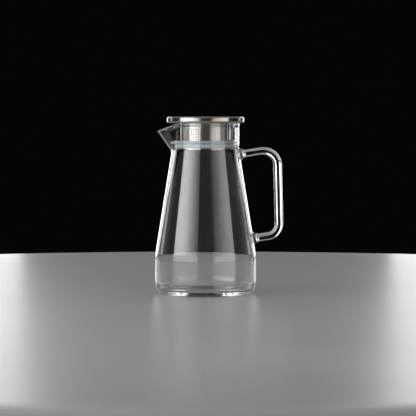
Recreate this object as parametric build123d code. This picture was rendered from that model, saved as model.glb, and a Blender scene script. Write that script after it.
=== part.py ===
from build123d import *
import math
import os

# Glass water jug with a lift-out strainer lid, in millimetres.
# +Z is up and the origin is on the jug's axis in the plane that it stands on.
# The pouring beak points to -X and the handle stands out to +X.

# Glass vessel, outside form
NECK_RADIUS = 42.0
BODY_RADIUS = 63.0
HEEL_WIDTH = 8.8
HEEL_HEIGHT = 21.0
SHOULDER_HEIGHT = 47.0
NECK_HEIGHT = 178.0
RIM_HEIGHT = 212.0
SHOULDER_BLEND = 70.0
NECK_BLEND = 14.0
RIM_ROUNDING = 1.3

# Glass vessel, walls and base
NECK_WALL = 2.8
BODY_WALL = 2.4
BASE_THICKNESS = 4.6
FOOT_WIDTH = 8.2
FOOT_RECESS = 1.6
RECESS_SLOPE_WIDTH = 6.0
INNER_HEEL_WIDTH = 11.0
INNER_HEEL_HEIGHT = 12.0

# Pouring beak
BEAK_ROOT_BELOW_RIM = 35.3
BEAK_TIP_BELOW_RIM = 10.3
BEAK_REACH = 17.9
BEAK_HALF_ANGLE = 30.8
BEAK_NOSE_RADIUS = 4.2
BEAK_ROOT_ROUNDING = 12.0
BEAK_WALL = 3.1
LIP_START = 33.0
BEAK_TANGENCY = 0.86

# Handle, one bent rod with drawn-down arms
UPPER_JOINT_HEIGHT = 173.5
LOWER_JOINT_HEIGHT = 69.2
ARM_RISE = 8.8
FINGER_GAP = 23.2
GRIP_DIAMETER = 10.5
UPPER_ARM_DIAMETER = 8.9
LOWER_ARM_DIAMETER = 9.6
GRIP_LEAN = 1.5
UPPER_BEND_RADIUS = 18.0
LOWER_BEND_RADIUS = 15.5

# Weld pads that join the rod to the wall
PAD_DIAMETER = 15.0
PAD_LENGTH = 5.6
PAD_COLLAR = 0.7

# Cap
CAP_OVERHANG = 6.0
CAP_THICKNESS = 7.8
CAP_SHEET = 0.8
CAP_EDGE_ROUNDING = 2.5
CAP_HEM_WIDTH = 4.0
SEAT_CLEARANCE = 0.2

# Strainer sleeve, inside the neck with a gap that the drink pours through
POUR_GAP = 8.4
SLEEVE_LENGTH = 32.8
SLEEVE_SHEET = 0.8
SLEEVE_FLANGE_WIDTH = 3.5
HOLE_DIAMETER = 1.5
HOLE_ROWS = 5
HOLE_COLUMNS = 28
ROW_PITCH = 3.0
COLUMN_PITCH_ANGLE = 5.9
FIRST_ROW_BELOW_CAP = 8.0

# Seal and the steel ring that carries it
CARRIER_HEIGHT = 1.8
CARRIER_SHEET = 0.8
CARRIER_TO_GLASS = 2.5
SEAL_HEIGHT = 9.0
SEAL_TO_STEEL = 0.1
FIN_TO_GLASS = 0.3
BEAD_TO_GLASS = 1.0
GROOVE_DEPTH = 1.8
FIN_TIP_THICKNESS = 0.9
FIN_DROOP = 1.2
BEAD_HEIGHT = 3.2

# Heights and radii that follow from the sizes above
NECK_BORE_RADIUS = NECK_RADIUS - NECK_WALL
SEAT_HEIGHT = RIM_HEIGHT + SEAT_CLEARANCE
CAP_RADIUS = NECK_RADIUS + CAP_OVERHANG
SLEEVE_RADIUS = NECK_BORE_RADIUS - POUR_GAP
SLEEVE_END_HEIGHT = SEAT_HEIGHT - SLEEVE_LENGTH
SEAL_BASE_HEIGHT = SLEEVE_END_HEIGHT + CARRIER_HEIGHT + SEAL_TO_STEEL
CONE_SLOPE = (BODY_RADIUS - NECK_RADIUS) / (NECK_HEIGHT - SHOULDER_HEIGHT)
BEAK_ROOT_HEIGHT = RIM_HEIGHT - BEAK_ROOT_BELOW_RIM
BEAK_TIP_HEIGHT = RIM_HEIGHT - BEAK_TIP_BELOW_RIM
BEAK_TIP_RADIUS = NECK_RADIUS + BEAK_REACH
ROOT_SINK = 0.3
CUT_MARGIN = 5.0


def spun(points, radii=None):
    """Solid of revolution about Z of a closed outline of (radius, height) corners."""
    corners = [(radius, 0, height) for radius, height in points]
    if radii is None:
        outline = Polyline(*corners, close=True)
    else:
        outline = FilletPolyline(*corners, radius=radii, close=True)
    return revolve(make_face(outline), Axis.Z)


def wall_radius(height):
    """Outside radius of the vessel's cone at a height."""
    return BODY_RADIUS - (height - SHOULDER_HEIGHT) * CONE_SLOPE


def vessel_outside():
    """Solid block with the vessel's outer surface and its recessed base."""
    foot_outer = BODY_RADIUS - HEEL_WIDTH
    foot_inner = foot_outer - FOOT_WIDTH
    recess_radius = foot_inner - RECESS_SLOPE_WIDTH
    recess_tangent = RECESS_SLOPE_WIDTH / 2
    base = Line((0, 0, FOOT_RECESS), (recess_radius, 0, FOOT_RECESS))
    slope = Bezier(
        (recess_radius, 0, FOOT_RECESS),
        (recess_radius + recess_tangent, 0, FOOT_RECESS),
        (foot_inner - recess_tangent, 0, 0),
        (foot_inner, 0, 0),
    )
    foot = Line((foot_inner, 0, 0), (foot_outer, 0, 0))
    heel = Bezier(
        (foot_outer, 0, 0),
        (foot_outer + 0.6 * HEEL_WIDTH, 0, 0),
        (BODY_RADIUS, 0, 0.3 * HEEL_HEIGHT),
        (BODY_RADIUS, 0, HEEL_HEIGHT),
    )
    side = FilletPolyline(
        (BODY_RADIUS, 0, HEEL_HEIGHT),
        (BODY_RADIUS, 0, SHOULDER_HEIGHT),
        (NECK_RADIUS, 0, NECK_HEIGHT),
        (NECK_RADIUS, 0, RIM_HEIGHT),
        (0, 0, RIM_HEIGHT),
        radius=[SHOULDER_BLEND, NECK_BLEND, RIM_ROUNDING],
    )
    axis = Line((0, 0, RIM_HEIGHT), (0, 0, FOOT_RECESS))
    return revolve(make_face(base + slope + foot + heel + side + axis), Axis.Z)


def vessel_cavity():
    """Space inside the vessel, running out through the mouth with a rounded edge."""
    floor = FOOT_RECESS + BASE_THICKNESS
    inner_body = BODY_RADIUS - BODY_WALL
    floor_radius = inner_body - INNER_HEEL_WIDTH
    heel_top = floor + INNER_HEEL_HEIGHT
    edge = RIM_ROUNDING * math.sqrt(0.5)
    mouth_radius = NECK_BORE_RADIUS + RIM_ROUNDING
    mouth_height = RIM_HEIGHT - RIM_ROUNDING
    top = RIM_HEIGHT + CUT_MARGIN
    base = Line((0, 0, floor), (floor_radius, 0, floor))
    heel = Bezier(
        (floor_radius, 0, floor),
        (floor_radius + 0.7 * INNER_HEEL_WIDTH, 0, floor),
        (inner_body, 0, floor + 0.3 * INNER_HEEL_HEIGHT),
        (inner_body, 0, heel_top),
    )
    side = FilletPolyline(
        (inner_body, 0, heel_top),
        (inner_body, 0, SHOULDER_HEIGHT),
        (NECK_BORE_RADIUS, 0, NECK_HEIGHT),
        (NECK_BORE_RADIUS, 0, mouth_height),
        radius=[SHOULDER_BLEND - BODY_WALL, NECK_BLEND + NECK_WALL],
    )
    mouth = ThreePointArc(
        (NECK_BORE_RADIUS, 0, mouth_height),
        (mouth_radius - edge, 0, mouth_height + edge),
        (mouth_radius, 0, RIM_HEIGHT),
    )
    lead_out = Polyline((mouth_radius, 0, RIM_HEIGHT), (mouth_radius, 0, top), (0, 0, top))
    axis = Line((0, 0, top), (0, 0, floor))
    return revolve(make_face(base + heel + side + mouth + lead_out + axis), Axis.Z)


def beak_section(height, bore, inset):
    """Level section of the beak, with straight walls that run from the neck to a round nose.

    The walls meet a circle of radius bore round the jug's axis, and lie inset behind the outer ones.
    """
    share = (height - BEAK_ROOT_HEIGHT) / (BEAK_TIP_HEIGHT - BEAK_ROOT_HEIGHT)
    reach = NECK_RADIUS + BEAK_REACH * share
    neck = min(NECK_RADIUS, reach - ROOT_SINK)
    spread = min(math.radians(BEAK_HALF_ANGLE), BEAK_TANGENCY * math.acos(neck / reach))
    crease = Vector(neck * math.cos(spread), neck * math.sin(spread))
    nose_radius = BEAK_NOSE_RADIUS + (BEAK_ROOT_ROUNDING - BEAK_NOSE_RADIUS) * max(0, 1 - share)
    centre = Vector(reach - nose_radius, 0)
    to_nose = centre - crease
    heading = math.atan2(to_nose.Y, to_nose.X) + math.asin(nose_radius / to_nose.length)
    along = Vector(math.cos(heading), math.sin(heading))
    touch = centre + Vector(-along.Y, along.X) * (nose_radius - inset)
    forward = touch.dot(along)
    to_bore = forward - math.sqrt(forward**2 + bore**2 - touch.length**2)
    foot = touch - along * max(to_bore, ROOT_SINK)
    back = foot * (1 - (NECK_WALL / 2 + inset) / foot.length)
    left = [Vector(-spot.X, spot.Y, height) for spot in (back, foot, touch)]
    right = [Vector(-spot.X, -spot.Y, height) for spot in (touch, foot, back)]
    tip = Vector(inset - reach, 0, height)
    nose = Edge.make_three_point_arc(left[-1], tip, right[0])
    walls = [Edge.make_line(*pair) for pair in zip(left, left[1:])]
    walls += [nose] + [Edge.make_line(*pair) for pair in zip(right, right[1:])]
    return Face(Wire(walls + [Edge.make_line(right[-1], left[0])]))


def beak_block(bore, inset):
    """Solid beak form from just under its root to above the rim."""
    rise = BEAK_TIP_HEIGHT - BEAK_ROOT_HEIGHT
    over_rim = (RIM_HEIGHT + CUT_MARGIN - BEAK_ROOT_HEIGHT) / rise
    shares = (-0.03, 0.04, 0.1, 0.2, 0.34, 0.55, 1.0, over_rim)
    sections = [beak_section(BEAK_ROOT_HEIGHT + share * rise, bore, inset) for share in shares]
    return loft(sections, ruled=True)


def lip_cut():
    """Everything above the rim and the beak's sloping pouring lip, on the beak's side."""
    fall = (RIM_HEIGHT - BEAK_TIP_HEIGHT) / (BEAK_TIP_RADIUS - LIP_START)
    far = BEAK_TIP_RADIUS + BEAK_REACH
    top = RIM_HEIGHT + 2 * CUT_MARGIN
    outline = Polyline(
        (0, 0, RIM_HEIGHT),
        (-LIP_START, 0, RIM_HEIGHT),
        (-far, 0, RIM_HEIGHT - fall * (far - LIP_START)),
        (-far, 0, top),
        (0, 0, top),
        close=True,
    )
    return extrude(make_face(outline), NECK_RADIUS, dir=(0, 1, 0), both=True)


def glass_vessel():
    """Blown vessel with its drawn beak, one piece of glass."""
    glass = vessel_outside() + beak_block(NECK_RADIUS, 0)
    return glass - vessel_cavity() - beak_block(NECK_BORE_RADIUS, BEAK_WALL) - lip_cut()


def handle_corners():
    """Corner points of the handle's centre line, from the upper joint to the lower one."""
    rise = math.tan(math.radians(ARM_RISE))
    lean = math.tan(math.radians(GRIP_LEAN))
    upper_wall = wall_radius(UPPER_JOINT_HEIGHT)
    lower_wall = wall_radius(LOWER_JOINT_HEIGHT)
    low_x = BODY_RADIUS + FINGER_GAP + GRIP_DIAMETER / 2
    low_z = LOWER_JOINT_HEIGHT + (low_x - lower_wall) * rise
    high_x = low_x - lean * (UPPER_JOINT_HEIGHT - upper_wall * rise - low_z)
    high_x /= 1 + rise * lean
    high_z = UPPER_JOINT_HEIGHT + (high_x - upper_wall) * rise
    return [
        Vector(upper_wall, 0, UPPER_JOINT_HEIGHT),
        Vector(high_x, 0, high_z),
        Vector(low_x, 0, low_z),
        Vector(lower_wall, 0, LOWER_JOINT_HEIGHT),
    ]


def arm_direction():
    """Direction of both arms, away from the wall."""
    rise = math.radians(ARM_RISE)
    return Vector(math.cos(rise), 0, math.sin(rise))


def handle_rod():
    """Bent rod, full size at the grip and drawn down towards both ends."""
    upper, high, low, lower = handle_corners()
    start = upper + arm_direction() * PAD_LENGTH
    end = lower + arm_direction() * PAD_LENGTH
    path = FilletPolyline(start, high, low, end, radius=[UPPER_BEND_RADIUS, LOWER_BEND_RADIUS])
    diameters = [UPPER_ARM_DIAMETER, UPPER_ARM_DIAMETER, GRIP_DIAMETER, GRIP_DIAMETER]
    diameters += [LOWER_ARM_DIAMETER, LOWER_ARM_DIAMETER]
    stretches = [
        rod_stretch(run, diameters[place], diameters[place + 1]) for place, run in enumerate(path.edges())
    ]
    return Part() + stretches


def rod_stretch(run, first_diameter, last_diameter):
    """One straight or bent stretch of the rod between two round sections."""
    sections = [
        Plane(origin=run @ share, x_dir=(0, 1, 0), z_dir=run % share) * Circle(diameter / 2)
        for share, diameter in ((0, first_diameter), (1, last_diameter))
    ]
    return sweep(sections, path=run, multisection=True)


def weld_pad(joint_height, arm_diameter):
    """Flared collar of glass between the wall and one end of the rod."""
    sunk = BODY_WALL
    collar = arm_diameter / 2 + PAD_COLLAR
    flare = (PAD_DIAMETER / 2 - collar) / PAD_LENGTH
    pad = spun([(0, -sunk), (PAD_DIAMETER / 2 + flare * sunk, -sunk), (collar, PAD_LENGTH), (0, PAD_LENGTH)])
    joint = Vector(wall_radius(joint_height), 0, joint_height)
    return Plane(origin=joint, x_dir=(0, 1, 0), z_dir=arm_direction()) * pad - vessel_outside()


def cap_shell():
    """Drawn steel shell of the cap, turned in under its edge."""
    bottom = SEAT_HEIGHT
    top = bottom + CAP_THICKNESS
    hem = CAP_RADIUS - CAP_HEM_WIDTH
    inner = CAP_RADIUS - CAP_SHEET
    bend = CAP_EDGE_ROUNDING
    inner_bend = CAP_EDGE_ROUNDING - CAP_SHEET
    outline = [
        (0, top),
        (CAP_RADIUS, top),
        (CAP_RADIUS, bottom),
        (hem, bottom),
        (hem, bottom + CAP_SHEET),
        (inner, bottom + CAP_SHEET),
        (inner, top - CAP_SHEET),
        (0, top - CAP_SHEET),
    ]
    return spun(outline, [0, bend, bend, 0, 0, inner_bend, inner_bend, 0])


def cap_base():
    """Flat steel disc that closes the shell from below and rests over the rim."""
    return Pos(0, 0, SEAT_HEIGHT) * extrude(Circle(CAP_RADIUS - CAP_HEM_WIDTH), CAP_SHEET)


def strainer_holes():
    """Radial drill cores of the strainer, centred on the pouring side."""
    through = Pos(SLEEVE_SHEET / 2 - SLEEVE_RADIUS, 0, 0)
    core = through * Rot(0, 90, 0) * Cylinder(HOLE_DIAMETER / 2, 3 * SLEEVE_SHEET)
    first = (HOLE_COLUMNS - 1) / 2
    return [
        Pos(0, 0, SEAT_HEIGHT - FIRST_ROW_BELOW_CAP - row * ROW_PITCH)
        * Rot(0, 0, (column - first) * COLUMN_PITCH_ANGLE)
        * core
        for row in range(HOLE_ROWS)
        for column in range(HOLE_COLUMNS)
    ]


def strainer_sleeve():
    """Thin steel sleeve, flanged at the top for its weld and pierced on the pouring side."""
    inner = SLEEVE_RADIUS - SLEEVE_SHEET
    flange = inner - SLEEVE_FLANGE_WIDTH
    sleeve = spun(
        [
            (flange, SEAT_HEIGHT),
            (SLEEVE_RADIUS, SEAT_HEIGHT),
            (SLEEVE_RADIUS, SLEEVE_END_HEIGHT),
            (inner, SLEEVE_END_HEIGHT),
            (inner, SEAT_HEIGHT - SLEEVE_SHEET),
            (flange, SEAT_HEIGHT - SLEEVE_SHEET),
        ]
    )
    return sleeve - strainer_holes()


def seal_carrier():
    """Pressed steel ring round the sleeve's lower end, with a turned-down edge."""
    inner = SLEEVE_RADIUS
    outer = NECK_BORE_RADIUS - CARRIER_TO_GLASS
    low = SLEEVE_END_HEIGHT
    high = SLEEVE_END_HEIGHT + CARRIER_HEIGHT
    return spun(
        [
            (inner, low),
            (inner + CARRIER_SHEET, low),
            (inner + CARRIER_SHEET, high - CARRIER_SHEET),
            (outer - CARRIER_SHEET, high - CARRIER_SHEET),
            (outer - CARRIER_SHEET, low),
            (outer, low),
            (outer, high),
            (inner, high),
        ]
    )


def silicone_seal():
    """Soft ring with a wide wiping fin over a groove and a smaller bead."""
    inner = SLEEVE_RADIUS + SEAL_TO_STEEL
    fin = NECK_BORE_RADIUS - FIN_TO_GLASS
    bead = NECK_BORE_RADIUS - BEAD_TO_GLASS
    groove = bead - GROOVE_DEPTH
    base = SEAL_BASE_HEIGHT
    top = base + SEAL_HEIGHT
    tip_top = top - FIN_DROOP
    tip_low = tip_top - FIN_TIP_THICKNESS
    return spun(
        [
            (inner, base),
            (bead - 0.4 * GROOVE_DEPTH, base),
            (bead, base + 0.5 * BEAD_HEIGHT),
            (groove, base + BEAD_HEIGHT),
            (groove, base + BEAD_HEIGHT + 0.4 * GROOVE_DEPTH),
            (fin, tip_low),
            (fin, tip_top),
            (fin - 2 * FIN_DROOP, top),
            (inner, top),
        ],
        [0, 0.3, 0.9, 0.3, 0.3, 0.3, 0.3, 0.9, 0],
    )


def parts():
    """Every piece of the jug under its own name."""
    return {
        "glass_vessel": glass_vessel(),
        "handle_rod": handle_rod(),
        "upper_weld_pad": weld_pad(UPPER_JOINT_HEIGHT, UPPER_ARM_DIAMETER),
        "lower_weld_pad": weld_pad(LOWER_JOINT_HEIGHT, LOWER_ARM_DIAMETER),
        "cap_shell": cap_shell(),
        "cap_base": cap_base(),
        "strainer_sleeve": strainer_sleeve(),
        "seal_carrier": seal_carrier(),
        "silicone_seal": silicone_seal(),
    }


os.makedirs("parts", exist_ok=True)
for name, piece in parts().items():
    export_step(piece, os.path.join("parts", name + ".step"))
    print(f"{name}: {len(piece.solids())} solid, {piece.volume / 1000:.1f} cm3")
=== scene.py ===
"""Looks of a glass water jug with a strainer lid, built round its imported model.

The jug's classes hold their sizes in millimetres and their angles in degrees. The studio's sizes are in
metres.
"""

import logging
import math
from collections.abc import Callable, Mapping, Sequence
from dataclasses import dataclass, field
from enum import Enum
from typing import Any

import bmesh
import bpy
import numpy as np
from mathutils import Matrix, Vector


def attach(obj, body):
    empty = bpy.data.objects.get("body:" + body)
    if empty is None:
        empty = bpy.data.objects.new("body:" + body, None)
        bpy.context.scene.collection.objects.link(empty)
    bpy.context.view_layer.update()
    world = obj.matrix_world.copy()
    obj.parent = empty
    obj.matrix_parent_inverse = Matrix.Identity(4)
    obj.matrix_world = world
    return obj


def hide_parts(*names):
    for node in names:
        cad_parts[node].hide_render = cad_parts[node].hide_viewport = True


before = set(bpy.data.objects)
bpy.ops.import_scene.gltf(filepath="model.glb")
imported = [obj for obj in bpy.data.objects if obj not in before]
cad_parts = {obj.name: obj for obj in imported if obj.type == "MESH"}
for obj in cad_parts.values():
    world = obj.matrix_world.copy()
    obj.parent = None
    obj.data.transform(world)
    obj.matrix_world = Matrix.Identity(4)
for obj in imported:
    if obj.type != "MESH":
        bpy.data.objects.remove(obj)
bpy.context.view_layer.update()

MM = 0.001
log = logging.getLogger("jug")

Array = np.ndarray
Socket = bpy.types.NodeSocket
Colour = tuple[float, float, float]
Pair = tuple[float, float]
Profile = list[Pair]
Waves = tuple[tuple[float, int, float], ...]

# The values of soft noise between which one colour turns into the other.
CLOUDY: Pair = (0.3, 0.7)
# An angle too small to round.
TINY = 1e-6


# -------------------- shader values


class Wire:
    """A number that changes over a surface, written with the usual operators."""

    def __init__(self, tree: "ShaderTree", socket: Socket) -> None:
        """Wraps the output that carries the number, in the tree that new Math nodes go into."""
        self.tree = tree
        self.socket = socket

    def _maths(self, operation: str, *values: "Wire | float") -> "Wire":
        """Adds a Math node with these values as its inputs, and gives its result."""
        node = self.tree.node("ShaderNodeMath", {"operation": operation}, dict(enumerate(values)))
        return Wire(self.tree, node.outputs[0])

    def __add__(self, other: "Wire | float") -> "Wire":
        """Sum."""
        return self._maths("ADD", self, other)

    def __radd__(self, other: float) -> "Wire":
        """Sum with the number first."""
        return self._maths("ADD", other, self)

    def __sub__(self, other: "Wire | float") -> "Wire":
        """Difference."""
        return self._maths("SUBTRACT", self, other)

    def __rsub__(self, other: float) -> "Wire":
        """Difference with the number first."""
        return self._maths("SUBTRACT", other, self)

    def __mul__(self, other: "Wire | float") -> "Wire":
        """Product."""
        return self._maths("MULTIPLY", self, other)

    def __rmul__(self, other: float) -> "Wire":
        """Product with the number first."""
        return self._maths("MULTIPLY", other, self)

    def __truediv__(self, other: "Wire | float") -> "Wire":
        """Quotient."""
        return self._maths("DIVIDE", self, other)

    def __rtruediv__(self, other: float) -> "Wire":
        """Quotient with the number first."""
        return self._maths("DIVIDE", other, self)

    def __pow__(self, other: "Wire | float") -> "Wire":
        """Power."""
        return self._maths("POWER", self, other)

    def __rpow__(self, other: float) -> "Wire":
        """Power with the number first."""
        return self._maths("POWER", other, self)

    def above(self, low: float, high: float) -> "Wire":
        """Rises smoothly from 0 at low to 1 at high.

        Args:
            low: Where the ramp starts.
            high: Where it ends.

        Returns:
            The ramp's value.
        """
        settings = {"interpolation_type": "SMOOTHSTEP"}
        inputs = {"Value": self, "From Min": low, "From Max": high}
        return Wire(self.tree, self.tree.node("ShaderNodeMapRange", settings, inputs).outputs[0])


class Output(Enum):
    """Where a shader ends."""

    MATERIAL = "ShaderNodeOutputMaterial"
    LAMP = "ShaderNodeOutputLight"
    WORLD = "ShaderNodeOutputWorld"


class ShaderTree:
    """The nodes of a material, a lamp or the surroundings."""

    def __init__(self, owner: bpy.types.ID) -> None:
        """Starts with no nodes.

        Args:
            owner: The material, lamp or world that they belong to.
        """
        self.owner = owner
        self.owner.use_nodes = True
        self.tree = self.owner.node_tree
        self.tree.nodes.clear()

    def node(
        self, kind: str, settings: Mapping[str, Any] | None = None, inputs: Mapping[Any, Any] | None = None
    ) -> bpy.types.Node:
        """Adds a node.

        Args:
            kind: The node's type.
            settings: Its properties, such as a Math node's operation, which are set first.
            inputs: Values or links, by the socket's name or number.

        Returns:
            The node.
        """
        node = self.tree.nodes.new(kind)
        for key, value in (settings or {}).items():
            setattr(node, key, value)
        for key, value in (inputs or {}).items():
            source = value.socket if isinstance(value, Wire) else value
            if isinstance(source, Socket):
                self.tree.links.new(source, node.inputs[key])
            else:
                node.inputs[key].default_value = source
        return node

    def place(self) -> Socket:
        """Where a point lies on the object, as a vector in metres."""
        return self.node("ShaderNodeTexCoord").outputs["Object"]

    def split(self, vector: Socket) -> list[Wire]:
        """Takes a vector apart into its three numbers."""
        return [Wire(self, out) for out in self.node("ShaderNodeSeparateXYZ", inputs={0: vector}).outputs]

    def joined(self, x: Wire | float, y: Wire | float, z: Wire | float) -> Socket:
        """Makes a vector of three numbers."""
        return self.node("ShaderNodeCombineXYZ", inputs={0: x, 1: y, 2: z}).outputs[0]

    def noise(self, vector: Socket, scale: float, detail: float = 2.0, rough: float = 0.5) -> Wire:
        """Soft noise about 0.5, with scale features to each unit of the vector it is read at."""
        inputs = {"Vector": vector, "Scale": scale, "Detail": detail, "Roughness": rough}
        return Wire(self, self.node("ShaderNodeTexNoise", inputs=inputs).outputs[0])

    def mixed(self, share: Wire, *colours: Colour | Socket) -> Socket:
        """Mixes two colours.

        Args:
            share: 0 gives the first colour and 1 the second.
            colours: Both colours, each of them fixed or from another node.

        Returns:
            The mixed colour.
        """
        first, second = ((*colour, 1.0) if isinstance(colour, tuple) else colour for colour in colours)
        inputs = {0: share, 6: first, 7: second}
        return self.node("ShaderNodeMix", {"data_type": "RGBA"}, inputs).outputs[2]

    def bump(self, height: Wire, depth: float) -> Socket:
        """Turns a height from 0 to 1 into a normal, where depth is a height of 1 in millimetres."""
        return self.node("ShaderNodeBump", inputs={"Distance": depth * MM, "Height": height}).outputs[0]

    def principled(self, inputs: Mapping[str, Any]) -> Socket:
        """Adds a Principled shader with these values and links."""
        return self.node("ShaderNodeBsdfPrincipled", inputs=inputs).outputs[0]

    def finish(self, shader: Socket, output: Output = Output.MATERIAL) -> bpy.types.ID:
        """Sends a shader to the output, and gives what the nodes belong to."""
        self.node(output.value, inputs={"Surface": shader})
        return self.owner


def new_material(name: str) -> ShaderTree:
    """Starts a new material's nodes."""
    return ShaderTree(bpy.data.materials.new(name))


# -------------------- finishes


@dataclass(frozen=True)
class ClearGlass:
    """Fire-polished borosilicate, with the faint waves of worked glass."""

    ior: float = 1.474
    clear: Colour = (1.0, 1.0, 1.0)
    tinted: Colour = (0.975, 0.99, 0.985)
    tinting: Pair = (0.35, 0.7)
    wave_size: float = 26.0
    wave_depth: float = 0.05
    lamp_share: Colour = (0.93, 0.94, 0.94)

    def material(self) -> bpy.types.Material:
        """Builds the material.

        Returns:
            Glass that lets the lamps' light through without caustics.
        """
        tree = new_material("clear_glass")
        place = tree.place()
        waves = tree.noise(place, 1 / (self.wave_size * MM), detail=1.0)
        streaks = tree.noise(place, 2 / (self.wave_size * MM))
        inputs = {
            "Base Color": tree.mixed(streaks.above(*self.tinting), self.clear, self.tinted),
            "Roughness": 0.0,
            "IOR": self.ior,
            "Transmission Weight": 1.0,
            "Normal": tree.bump(waves, self.wave_depth),
        }
        glass = tree.principled(inputs)
        open_way = tree.node("ShaderNodeBsdfTransparent", inputs={"Color": (*self.lamp_share, 1.0)})
        ray = tree.node("ShaderNodeLightPath").outputs["Is Shadow Ray"]
        both = tree.node("ShaderNodeMixShader", inputs={0: ray, 1: glass, 2: open_way.outputs[0]})
        return tree.finish(both.outputs[0])


@dataclass(frozen=True)
class BrushedSteel:
    """Stainless steel brushed in rings round the jug's axis.

    Its long lines and the short breaks in them are noise, stretched round the axis and fine across it.
    """

    name: str
    light: Colour
    dark: Colour
    rough: float
    rough_spread: float
    line_size: float
    line_depth: float
    anisotropy: float
    # Painted shade: a near-black colour that stands in for the shade inside the strainer sleeve, used within
    # the radius below.
    painted_shade: Colour = (0.035, 0.032, 0.03)
    painted_shade_radius: float = 0.0
    painted_shade_edge: float = 0.3
    axis_width: float = 0.01
    height_share: float = 1.37
    line_turns: float = 1.6
    break_turns: float = 9.0
    break_fineness: float = 1.7
    cloud_size: float = 17.0
    worn_shares: tuple[float, ...] = (0.6, 0.25, 0.15)
    bump_shares: Pair = (0.7, 0.3)
    quarter_turn: float = 0.25

    def material(self) -> bpy.types.Material:
        """Builds the material.

        Returns:
            Metal whose fine lines run round the axis, painted near-black within the given radius as painted
            shade inside the sleeve.
        """
        tree = new_material(self.name)
        place = tree.place()
        x, y, z = (axis * (1 / MM) for axis in tree.split(place))
        radius = (x * x + y * y) ** 0.5
        turn_x, turn_y = x / (radius + self.axis_width), y / (radius + self.axis_width)
        across = (radius + z * self.height_share) / self.line_size
        line_spot = tree.joined(turn_x * self.line_turns, turn_y * self.line_turns, across)
        lines = tree.noise(line_spot, 1.0, detail=4.0, rough=0.7)
        finer = across * self.break_fineness
        broken = tree.noise(tree.joined(turn_x * self.break_turns, turn_y * self.break_turns, finer), 1.0)
        cloud = tree.noise(place, 1 / (self.cloud_size * MM), detail=3.0)
        line_share, break_share, cloud_share = self.worn_shares
        worn = lines * line_share + broken * break_share + cloud * cloud_share
        polished = tree.mixed(worn.above(*CLOUDY), self.dark, self.light)
        # Painted shade: within the given radius the colour turns near-black, standing in for the shade inside
        # the sleeve.
        outside_painted_shade = radius.above(self.painted_shade_radius, self.painted_shade_radius + self.painted_shade_edge)
        inputs = {
            "Base Color": tree.mixed(outside_painted_shade, self.painted_shade, polished),
            "Metallic": 1.0,
            "Roughness": self.rough + (worn - 0.5) * self.rough_spread,
            "Anisotropic": self.anisotropy,
            "Anisotropic Rotation": self.quarter_turn,
            "Normal": tree.bump(lines * self.bump_shares[0] + broken * self.bump_shares[1], self.line_depth),
        }
        return tree.finish(tree.principled(inputs))


@dataclass(frozen=True)
class MilkySilicone:
    """Soft translucent silicone with a satin skin and fine dust."""

    milky: Colour = (0.84, 0.87, 0.9)
    clearer: Colour = (0.7, 0.74, 0.78)
    rough: float = 0.38
    cloud_rough: float = 0.2
    dust_rough: float = 0.12
    cloud_size: float = 7.0
    grain_size: float = 0.5
    dusty: Pair = (0.62, 0.75)
    ior: float = 1.41
    sink_weight: float = 0.7
    sink_colours: Colour = (1.0, 1.1, 1.3)
    sink_depth: float = 2.5
    see_through: float = 0.15
    bump_shares: Pair = (0.4, 0.6)
    bump_depth: float = 0.03

    def material(self) -> bpy.types.Material:
        """Builds the material.

        Returns:
            Silicone that light sinks into.
        """
        tree = new_material("milky_silicone")
        place = tree.place()
        cloud = tree.noise(place, 1 / (self.cloud_size * MM), detail=3.0)
        grain = tree.noise(place, 1 / (self.grain_size * MM))
        dust = grain.above(*self.dusty)
        inputs = {
            "Base Color": tree.mixed(cloud.above(*CLOUDY), self.clearer, self.milky),
            "Roughness": self.rough + (cloud - 0.5) * self.cloud_rough + dust * self.dust_rough,
            "IOR": self.ior,
            "Subsurface Weight": self.sink_weight,
            "Subsurface Radius": self.sink_colours,
            "Subsurface Scale": self.sink_depth * MM,
            "Transmission Weight": self.see_through,
            "Normal": tree.bump(grain * self.bump_shares[0] + cloud * self.bump_shares[1], self.bump_depth),
        }
        return tree.finish(tree.principled(inputs))


@dataclass(frozen=True)
class PaleFloor:
    """Plain pale studio floor."""

    pale: Colour = (0.5, 0.495, 0.49)
    paler: Colour = (0.54, 0.535, 0.53)
    rough: float = 0.33
    rough_spread: float = 0.1
    clouds_to_metre: float = 3.0
    grains_to_metre: float = 900.0
    grain_depth: float = 0.02

    def material(self) -> bpy.types.Material:
        """Builds the material.

        Returns:
            A pale surface with a soft gloss.
        """
        tree = new_material("pale_floor")
        place = tree.place()
        cloud = tree.noise(place, self.clouds_to_metre, detail=3.0)
        grain = tree.noise(place, self.grains_to_metre)
        inputs = {
            "Base Color": tree.mixed(cloud.above(*CLOUDY), self.pale, self.paler),
            "Roughness": self.rough + (grain - 0.5) * self.rough_spread,
            "Normal": tree.bump(grain, self.grain_depth),
        }
        return tree.finish(tree.principled(inputs))


# -------------------- outlines and meshes


def bezier(points: Sequence[Pair], steps: int) -> Profile:
    """Samples a cubic curve.

    Args:
        points: Its four control points.
        steps: How many stretches it is cut into.

    Returns:
        The sampled points, both ends included.
    """
    controls = np.array(points, float)
    share = np.linspace(0, 1, steps + 1)[:, None]
    weights = [(1 - share) ** 3, 3 * share * (1 - share) ** 2, 3 * share**2 * (1 - share), share**3]
    return [tuple(p) for p in sum(w * c for w, c in zip(weights, controls, strict=True))]


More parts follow.
